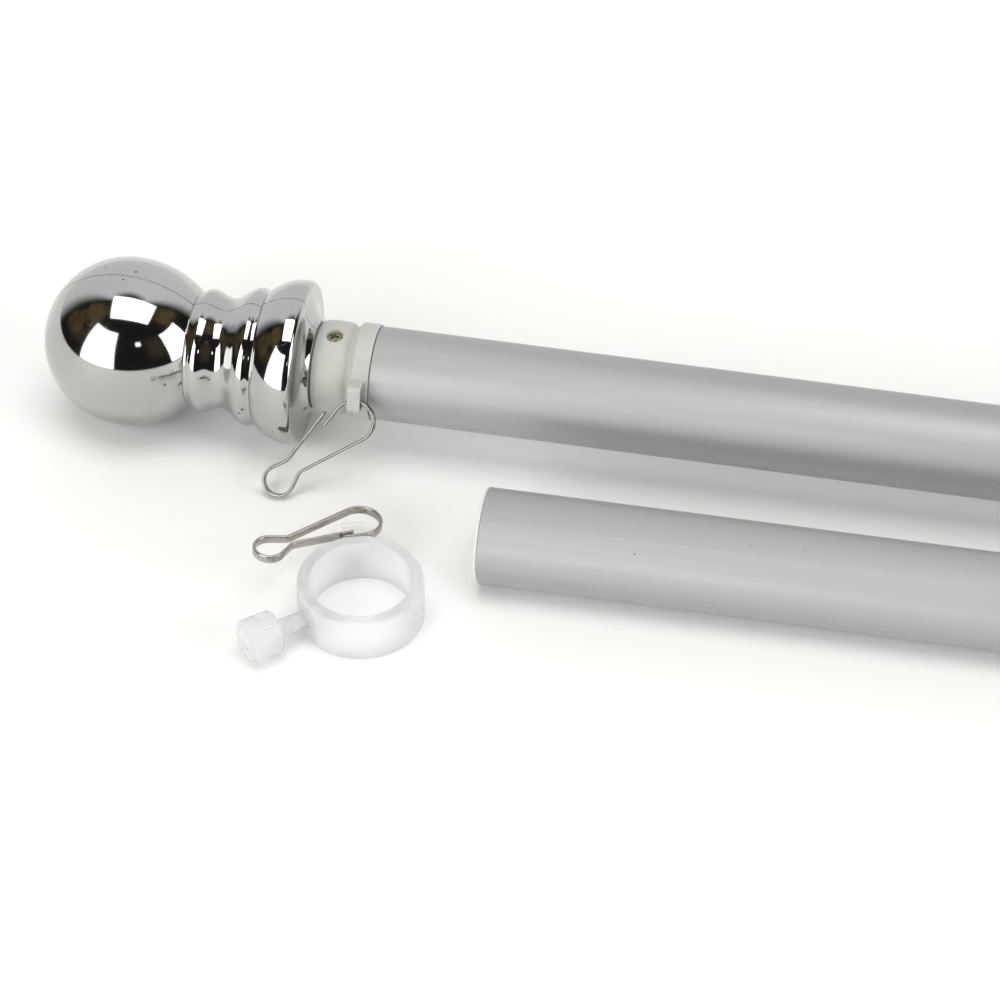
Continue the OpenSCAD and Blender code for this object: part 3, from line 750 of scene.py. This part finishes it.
def buildUpperTube():
    # a plain tube that narrows to a spigot at its far end
    t, r = tubes, layout["tubeRadius"]
    start, end = layout["tubeStart"], layout["tubeStart"] + layout["tubeLength"]
    spigot = end - t["spigotLength"]
    bore, inner = r - layout["tubeWall"], t["spigotRadius"] - t["spigotWall"]
    neck = end - t["spigotLength"] - t["spigotTaper"]
    return tubeShell("upperTube", [(start + t["outlineStart"], r), (neck, r), (spigot, t["spigotRadius"]),
                                   (end, t["spigotRadius"]), (end, inner), (spigot, inner),
                                   (neck, bore), (start, bore), (start, r)], upperSeat)


def buildLowerTube():
    # a plain tube with a wider socket at its far end
    t, r, end = tubes, layout["tubeRadius"], layout["tubeLength"]
    bore, socket = r - layout["tubeWall"], end - t["socketDepth"]
    return tubeShell("lowerTube", [(t["outlineStart"], r), (end, r), (end, t["socketRadius"]),
                                   (socket, t["socketRadius"]), (socket, bore), (0, bore), (0, r)],
                     lowerSeat)


def buildButtPlug():
    # a crowned disc with a soft edge, -rim - crown * (1 - t^2) along, and the cup that sits in the tube
    p = plug
    r, bore = layout["tubeRadius"] - p["inset"], layout["tubeRadius"] - layout["tubeWall"] - p["play"]
    t = np.linspace(0.02, 0.975, 26)[:, None]
    crown = np.hstack([-p["rim"] - p["crown"] * (1 - t ** 2), r * t])
    inner = bore - p["cupWall"]
    rest = roundCorners([crown[-1], (-p["shoulder"], r), (-p["seat"], r), (-p["seat"], bore),
                         (p["cupLength"], bore), (p["cupLength"], inner), (p["cupWall"], inner),
                         (p["cupWall"], nearAxis)], p["edge"], 4)
    rings = turnedRings(np.vstack([crown, rest[1:]]), fullTurn(p["columns"]))
    return closedGrid("buttPlug", rings, lowerSeat)


tubeMarks = [(put(np.array(place), lowerSeat), radius) for place, radius in (
    ((-12.2, -3.4, 70.0), 0.22), ((-12.3, -3.0, 84.0), 0.2), ((-9.0, -9.0, 41.0), 0.2))]
satinAluminium = newFinish("satinAluminium", {
    "colour": (0.445, 0.455, 0.45), "cloudColour": (0.415, 0.425, 0.42),
    "wornColour": (0.52, 0.53, 0.525), "speckColour": (0.16, 0.16, 0.16),
    "stretch": (0.02, 1, 1), "grainScale": 1500.0, "cloudScale": 160.0,
    "roughness": (0.50, 0.55), "grainRough": 0.10, "scuffStretch": (0.03, 1, 1),
    "scuffScale": 420.0, "scuffWidth": 0.012, "scuffCover": 0.4, "scuffTint": 0.3,
    "speckScale": 120.0, "speckSize": 0.03, "speckCover": 0.05, "speckTint": 0.7,
    "bump": 0.22, "bumpDepth": 0.03, "marks": tubeMarks, "constants": {"Metallic": 0.78},
})
whitePlug = newFinish("whitePlug", {
    "colour": (0.78, 0.785, 0.78), "cloudColour": (0.74, 0.745, 0.73),
    "wornColour": (0.5, 0.49, 0.46), "speckColour": (0.3, 0.29, 0.26),
    "grainScale": 600.0, "roughness": (0.26, 0.38), "grainRough": 0.07,
    "scuffScale": 130.0, "scuffWidth": 0.008, "scuffCover": 0.4, "scuffTint": 0.3,
    "speckScale": 300.0, "speckSize": 0.05, "speckCover": 0.05, "speckTint": 0.5,
    "bump": 0.2, "bumpDepth": 0.04, "constants": {"Metallic": 0.0, "IOR": 1.49},
})
dress(buildUpperTube(), satinAluminium, "pole", "tube_aluminium", "upper_tube")
dress(buildLowerTube(), satinAluminium, "pole", "tube_aluminium", "lower_tube")
dress(buildButtPlug(), whitePlug, "pole", "plug_plastic", "butt_plug")
print("tubes and plug made")

# the spring clips

clips = {
    "thick": 0.8, "wide": 2.4, "corner": 0.34,
    "eye": 5.48, "spring": 4.05, "span": 26.65, "longBend": (6.1, 1.7),
    "openBend": (5.4, -2.9), "openEnd": (-4.7, -1.2), "shutBend": (6.2, -1.0), "shutEnd": (-3.6, 2.4),
    "hookAngle": -103, "hookLength": 6.2, "soften": 0.4, "step": 0.2, "bellReach": 8, "endRound": 0.35,
    "hang": (66.6692, -14.6065, 24.4359),  # from the floor under the ball's centre
    "lean": 55.7971, "turn": 44.5,
    "passRadius": 18.7, "passHeight": 9.87, "passAlong": 3.2, "lowerTurn": (-1.2, 5.9, 38.9),
}


hookWay = unit(clips["hookAngle"] - 90)  # the way in which the hook leaves the eye
lowerPass = clips["eye"] * unit(clips["hookAngle"]) + clips["passAlong"] * hookWay
upperPass = clips["eye"] * unit(clips["turn"] - 90)


def circlePoints(centre, radius, a0, a1, steps=40):
    # an arc: centre + radius * (cos a, sin a), with a in degrees
    a = np.radians(np.linspace(a0, a1, steps + 1))
    return np.array(centre) + radius * np.stack([np.cos(a), np.sin(a)], axis=-1)


def touchAngle(point, radius, side):
    # where a line from a point touches a circle, both from the circle's centre
    return math.degrees(math.atan2(point[1], point[0]) + side * math.acos(radius / math.hypot(*point)))


def clipPath(bend, end):
    # free arm, bend, round the spring loop, long arm's bend, round the eye, straight hook;
    # then resampled evenly and smoothed with a bell so that the bends are rounded
    c = clips
    spring = np.array([-c["span"], 0.0])
    far = spring + np.array(c["longBend"])
    springTurn = touchAngle(bend, c["spring"], -1), touchAngle(c["longBend"], c["spring"], 1) - 360
    eyeTurn = touchAngle(far, c["eye"], -1) % 360, c["hookAngle"]
    hookEnd = c["eye"] * unit(c["hookAngle"]) + c["hookLength"] * hookWay
    path = np.vstack([[(end[0], end[1] - c["eye"])], [spring + np.array(bend)],
                      circlePoints(spring, c["spring"], *springTurn),
                      [far], circlePoints((0, 0), c["eye"], *eyeTurn), [hookEnd]])
    measure = np.concatenate([[0], np.cumsum(np.linalg.norm(np.diff(path, axis=0), axis=1))])
    even = np.linspace(0, measure[-1], int(measure[-1] / c["step"]))
    path = np.stack([np.interp(even, measure, path[:, 0]), np.interp(even, measure, path[:, 1])], axis=-1)
    reach = c["bellReach"]
    bell = np.exp(-(np.arange(-reach, reach + 1) * c["step"] / c["soften"]) ** 2 / 2)
    bell /= bell.sum()
    before = 2 * path[0] - path[reach:0:-1]
    after = 2 * path[-1] - path[-2:-reach - 2:-1]
    longer = np.vstack([before, path, after])
    return np.stack([np.convolve(longer[:, k], bell, "valid") for k in (0, 1)], axis=-1)


def buildClip(name, bend, end, seat, passPoint):
    # the pass point is where the wire goes through its bridge, and lies on the seat's origin
    path = clipPath(bend, end) - passPoint
    section = roundedSection(clips["wide"], clips["thick"], clips["corner"])
    return sweptStrip(name, path, section, seat, clips["endRound"])


def upperClipSeat():
    # at the clip's pass point, leaning about X and turned in its own plane
    c = clips
    place = ballCentre + np.array(c["hang"]) - np.array([0, 0, layout["ballRadius"]])
    return place, turnX(c["lean"] - 90) @ turnX(-90) @ turnZ(-c["turn"])


def lowerClipSeat():
    # at the clip's pass point, inside the clamp ring's bridge
    c = clips
    place = clampSeat[0] + np.array([*c["passRadius"] * unit(layout["bridgeTurn"]), c["passHeight"]])
    roll, tilt, turn = c["lowerTurn"]
    return place, turnZ(turn) @ turnY(tilt) @ turnX(roll)


clipFinish = {
    "colour": (0.29, 0.287, 0.275), "cloudColour": (0.23, 0.225, 0.215),
    "wornColour": (0.15, 0.145, 0.13), "speckColour": (0.20, 0.14, 0.09),
    "grainScale": 1400.0, "roughness": (0.12, 0.20), "grainRough": 0.10,
    "scuffScale": 300.0, "scuffWidth": 0.02, "scuffCover": 0.5, "scuffTint": 0.4,
    "speckScale": 600.0, "speckSize": 0.09, "speckCover": 0.1, "speckTint": 0.6,
    "bump": 0.35, "bumpDepth": 0.03, "constants": {"Metallic": 1.0},
}
clipSteel = newFinish("clipSteel", clipFinish)
# the lower clip gets a lighter copy of the same clip steel: its raised base colour is painted light,
# standing in for brighter reflections from the shadowed floor beside it; its warmer brown tone is the clip's
# own
paintedLightWarmClipSteel = newFinish("paintedLightWarmClipSteel", dict(
    clipFinish, colour=(0.54, 0.525, 0.49), cloudColour=(0.36, 0.335, 0.295),
    wornColour=(0.24, 0.21, 0.18)))
dress(buildClip("upperClip", clips["openBend"], clips["openEnd"], upperClipSeat(), upperPass),
      clipSteel, "upper_clip", "clip_steel", "upper_clip")
dress(buildClip("lowerClip", clips["shutBend"], clips["shutEnd"], lowerClipSeat(), lowerPass),
      paintedLightWarmClipSteel, "lower_clip", "clip_steel", "lower_clip")
print("spring clips made")

# the clamp ring and its thumbscrew

clamp = {
    "bore": 13.25, "radius": 16.55, "chamfer": 0.5, "edge": 0.35, "outlineGap": 0.1,
    "bridgeWidth": 5.7, "bridgeGap": 4.7, "bridgeSpan": 8.2, "bridgeDrop": 0.1,
    "hole": 2.55, "holeReach": (5, 20), "holeColumns": 48,
}
thumb = {
    "start": 13.55, "shank": 2.5, "root": 2.12, "pitch": 0.8, "tipTaper": 0.5,
    "threadStart": 0.8, "threadEnd": (0.3, 0.6),  # rises over 0.8, fades over 0.6, 0.3 short of the head
    "headStart": 24.7, "headEnd": 33.7, "head": 5.75, "neck": 2.15, "backEdge": 0.6, "faceEdge": 1.1,
    "dishRim": 3.4, "dish": 3.1, "dishDepth": 0.5, "dishMiddle": 0.25, "edge": 0.3, "step": 0.35,
    "ridges": 44, "ridgeDepth": 0.22, "ridgeLength": 4.6, "ridgeEnd": 0.35, "columns": 264,
}


def buildClampRing():
    # a band with chamfered edges, bored for the thumbscrew, and its bridge
    c, middle = clamp, clampHeight / 2
    outline = roundCorners([(middle, c["bore"]), (0, c["bore"]), (0, c["radius"] - c["chamfer"]),
                            (c["chamfer"], c["radius"]), (clampHeight - c["chamfer"], c["radius"]),
                            (clampHeight, c["radius"] - c["chamfer"]), (clampHeight, c["bore"]),
                            (middle + c["outlineGap"], c["bore"])], c["edge"], 4)
    band = turnedTube("clampBand", outline, clampSeat, 200)
    hole = np.array([(reach, c["hole"]) for reach in c["holeReach"]])
    band = cutBy(band, closedGrid("screwBore", turnedRings(hole, fullTurn(c["holeColumns"])), screwSeat))
    length = c["bridgeSpan"] + 2 * bridge["leg"]
    turn = turnZ(layout["bridgeTurn"])
    rise = clampHeight - c["bridgeDrop"] - length / 2
    foot = clampSeat[0] + turn @ np.array([c["radius"], 0, 0]) + np.array([0, 0, rise])
    axes = turn @ np.array([[0, 0, 1], [1, 0, 0], [0, 1, 0.0]]).T
    staple = bridgeStaple("clampBridge", length, c["bridgeWidth"], c["bridgeGap"], (foot, axes))
    return joined("clampRing", [band, staple])


def buildThumbscrew():
    # threaded shank: radius = root + (crest - root) * triangle wave of (along / pitch - turn / full turn),
    # then a head whose inner half carries straight ridges: radius - depth * wave of (turn * ridges)
    h, turns = thumb, fullTurn(thumb["columns"])
    along = np.linspace(h["start"], h["headStart"], 150)[:, None]
    saw = np.mod(along / h["pitch"] - turns / (2 * math.pi), 1)
    crest = np.clip(1.6 * (1 - np.abs(2 * saw - 1)) - 0.2, 0, 1)
    short, fade = h["threadEnd"]
    rising = np.clip((along - h["start"]) / h["threadStart"], 0, 1)
    fading = np.clip((h["headStart"] - short - along) / fade, 0, 1)
    radius = h["root"] + (h["shank"] - h["root"]) * crest * rising * fading
    radius = radius - h["tipTaper"] * np.clip(1 - (along - h["start"]) / h["tipTaper"], 0, 1)
    first, last, rim, dish = h["headStart"], h["headEnd"], h["head"], h["headEnd"] - h["dishDepth"]
    head = roundCorners([(first, h["neck"]), (first, rim - h["backEdge"]), (first + h["backEdge"], rim),
                         (last - h["faceEdge"], rim), (last, rim - h["faceEdge"]), (last, h["dishRim"]),
                         (dish, h["dish"]), (dish, h["dishMiddle"])], h["edge"], 4)
    head = lengthwise(head, h["step"])
    headAlong, headRadius = head[:, 0][:, None], head[:, 1][:, None]
    ridged = np.clip((first + h["ridgeLength"] - headAlong) / h["ridgeEnd"], 0, 1)
    ridged = ridged * np.clip((headRadius - rim + 0.7) / 0.5, 0, 1)  # on the rim only
    headRadius = headRadius - h["ridgeDepth"] * ridged * (0.5 - 0.5 * np.cos(h["ridges"] * turns))
    alongAll = np.vstack([along + 0 * turns, headAlong + 0 * turns])
    radiusAll = np.vstack([radius, headRadius + 0 * turns])
    rings = np.stack([radiusAll * np.cos(turns), radiusAll * np.sin(turns), alongAll], axis=-1)
    return closedGrid("thumbscrewBody", rings, screwSeat, 55)


frostedRing = newFinish("frostedRing", {
    "colour": (0.985, 0.99, 0.995), "cloudColour": (0.95, 0.955, 0.96),
    "wornColour": (0.7, 0.7, 0.7), "speckColour": (0.55, 0.55, 0.53),
    "grainScale": 500.0, "roughness": (0.30, 0.42), "grainRough": 0.08,
    "scuffScale": 90.0, "scuffWidth": 0.008, "scuffCover": 0.45, "scuffTint": 0.3,
    "speckScale": 240.0, "speckSize": 0.06, "speckCover": 0.08, "speckTint": 0.5,
    "bump": 0.3, "bumpDepth": 0.06,
    "constants": {"Metallic": 0.0, "IOR": 1.18, "Transmission Weight": 0.85},
})
clearBridge = newFinish("clearBridge", {
    "colour": (0.99, 0.99, 0.995), "cloudColour": (0.96, 0.965, 0.97),
    "wornColour": (0.85, 0.85, 0.85), "speckColour": (0.7, 0.7, 0.68),
    "grainScale": 500.0, "roughness": (0.05, 0.10), "grainRough": 0.03,
    "scuffScale": 120.0, "scuffWidth": 0.008, "scuffCover": 0.4, "scuffTint": 0.2,
    "speckScale": 300.0, "speckSize": 0.05, "speckCover": 0.05, "speckTint": 0.4,
    "bump": 0.1, "bumpDepth": 0.04,
    "constants": {"Metallic": 0.0, "IOR": 1.03, "Transmission Weight": 0.97},
})
clearScrew = newFinish("clearScrew", {
    "colour": (0.985, 0.99, 0.995), "cloudColour": (0.96, 0.965, 0.97),
    "wornColour": (0.8, 0.8, 0.8), "speckColour": (0.7, 0.7, 0.68),
    "grainScale": 600.0, "roughness": (0.14, 0.24), "grainRough": 0.05,
    "scuffScale": 140.0, "scuffWidth": 0.008, "scuffCover": 0.4, "scuffTint": 0.3,
    "speckScale": 300.0, "speckSize": 0.05, "speckCover": 0.06, "speckTint": 0.4,
    "bump": 0.2, "bumpDepth": 0.04,
    "constants": {"Metallic": 0.0, "IOR": 1.3, "Transmission Weight": 0.72},
})
dress(buildClampRing(), frostedRing, "pole", "frosted_plastic", "clamp_ring", second=clearBridge)
dress(buildThumbscrew(), clearScrew, "thumbscrew", "clear_plastic", "thumbscrew")
print("clamp ring and thumbscrew made")

# floor, light and camera

studio = {
    "floorSize": 8.0, "floorColour": (0.93, 0.93, 0.925), "floorRoughness": 0.7, "floorDrop": 0.02,
    "skyForCamera": (0.93, 0.93, 0.925), "darkRoom": (0.018, 0.017, 0.015),
    "backdrop": (0.92, 0.92, 0.91), "warmWall": (0.13, 0.095, 0.045), "dimWall": (0.06, 0.05, 0.035),
    "panelLight": 3.55, "panelTint": (1.0, 1.0, 0.99),
    # ranges of azimuth (0 behind, 90 to the right) and elevation in degrees, and how soft their edges are
    "leftPatch": ((232, 276), (14, 66), 8), "rightPatch": ((66, 108), (38, 60), 6),
    "dimPatch": ((126, 146), (14, 40), 6),
    "panels": (((187, 232), (0.5, 49), 1.0), ((88, 122), (1, 40), 1.0), ((154, 160), (33, 38), 1.0)),
    "overhead": ((-0.30, 0.50), (-0.38, 0.20), 0.02),  # the same for x over z and y over z
    "paperTurn": 8.0, "paperSide": (52, 74), "paperTop": (66, 78),  # where the paper fades out
}


def buildFloor():
    half = studio["floorSize"] / 2
    corners = np.array([(-half, -half, 0), (half, -half, 0), (half, half, 0), (-half, half, 0)]) / mm
    corners = corners - np.array([0, 0, studio["floorDrop"]])
    floor = makeObject("floor", corners, [[0, 1, 2, 3]], (np.zeros(3), np.eye(3)))
    material = bpy.data.materials.new("paleFloor")
    material.use_nodes = True
    shader = material.node_tree.nodes["Principled BSDF"]
    shader.inputs["Base Color"].default_value = (*studio["floorColour"], 1)
    shader.inputs["Roughness"].default_value = studio["floorRoughness"]
    floor.data.materials.append(material)


def patch(tree, across, up, acrossRange, upRange, soft):
    # 1 where both values lie inside their ranges, with edges this soft
    parts = []
    for value, (low, high) in ((across, acrossRange), (up, upRange)):
        parts.append(rampNode(tree, value, low - soft, low + soft))
        parts.append(fallNode(tree, value, high - soft, high + soft))
    result = parts[0]
    for part in parts[1:]:
        result = mathNode(tree, "MULTIPLY", result, part)
    return result


def buildStudioLight():
    # a room of light: pale paper behind, a dark room in front with two soft boxes and a small lamp,
    # and one more panel overhead. The camera itself sees a plain pale sky
    world = bpy.data.worlds.new("studio")
    bpy.context.scene.world = world
    world.use_nodes = True
    tree = world.node_tree
    tree.nodes.clear()
    way = tree.nodes.new("ShaderNodeTexCoord").outputs["Generated"]
    split = tree.nodes.new("ShaderNodeSeparateXYZ")
    link(tree, way, split.inputs[0])
    x, y, z = split.outputs
    degrees = 180 / math.pi
    elevation = mathNode(tree, "MULTIPLY", mathNode(tree, "ARCSINE", z, 0.0), degrees)
    azimuth = mathNode(tree, "MULTIPLY", mathNode(tree, "ARCTAN2", x, y), degrees)
    azimuth = mathNode(tree, "FLOORED_MODULO", azimuth, 360.0)
    uneven = rampNode(tree, noiseNode(tree, way, 3.2, 4.0), 0.32, 0.6)
    left = mathNode(tree, "MULTIPLY", patch(tree, azimuth, elevation, *studio["leftPatch"]), uneven)
    colour = mixColour(tree, left, studio["darkRoom"], studio["warmWall"])
    right = mathNode(tree, "MULTIPLY", patch(tree, azimuth, elevation, *studio["rightPatch"]), uneven)
    colour = mixColour(tree, right, colour, studio["warmWall"])
    dim = patch(tree, azimuth, elevation, *studio["dimPatch"])
    colour = mixColour(tree, dim, colour, studio["dimWall"])
    side = mathNode(tree, "PINGPONG", mathNode(tree, "ADD", azimuth, studio["paperTurn"]), 180.0)
    paper = mathNode(tree, "MULTIPLY", fallNode(tree, side, *studio["paperSide"]),
                     fallNode(tree, elevation, *studio["paperTop"]))
    colour = mixColour(tree, paper, colour, studio["backdrop"])
    bright = tuple(v * studio["panelLight"] for v in studio["panelTint"])
    for panel in studio["panels"]:
        colour = mixColour(tree, patch(tree, azimuth, elevation, *panel), colour, bright)
    overX, overY = mathNode(tree, "DIVIDE", x, z), mathNode(tree, "DIVIDE", y, z)
    over = patch(tree, overX, overY, *studio["overhead"])
    over = mathNode(tree, "MULTIPLY", over, mathNode(tree, "GREATER_THAN", z, 0.1))
    colour = mixColour(tree, over, colour, bright)
    room = tree.nodes.new("ShaderNodeBackground")
    link(tree, colour, room.inputs["Color"])
    seen = tree.nodes.new("ShaderNodeBackground")
    seen.inputs["Color"].default_value = (*studio["skyForCamera"], 1)
    choose = tree.nodes.new("ShaderNodeMixShader")
    link(tree, tree.nodes.new("ShaderNodeLightPath").outputs["Is Camera Ray"], choose.inputs[0])
    link(tree, room.outputs[0], choose.inputs[1])
    link(tree, seen.outputs[0], choose.inputs[2])
    leave = tree.nodes.new("ShaderNodeOutputWorld")
    link(tree, choose.outputs[0], leave.inputs["Surface"])


def buildCamera():
    # from the ball's centre, in mm; the lens is for a sensor 36 mm wide
    view = {"offset": (222.31, -655.10, 590.83), "azimuth": 10.298, "elevation": 43.583, "lens": 118.49}
    data = bpy.data.cameras.new("camera")
    data.lens, data.sensor_width = view["lens"], 36.0
    data.clip_start, data.clip_end = 0.01, 50.0
    camera = bpy.data.objects.new("camera", data)
    camera.location = Vector((ballCentre + np.array(view["offset"])) * mm)
    camera.rotation_euler = (math.radians(90 - view["elevation"]), 0, math.radians(view["azimuth"]))
    bpy.context.scene.collection.objects.link(camera)
    bpy.context.scene.camera = camera


buildFloor()
buildStudioLight()
buildCamera()
bpy.context.scene.view_settings.view_transform = "Standard"
print("studio ready")
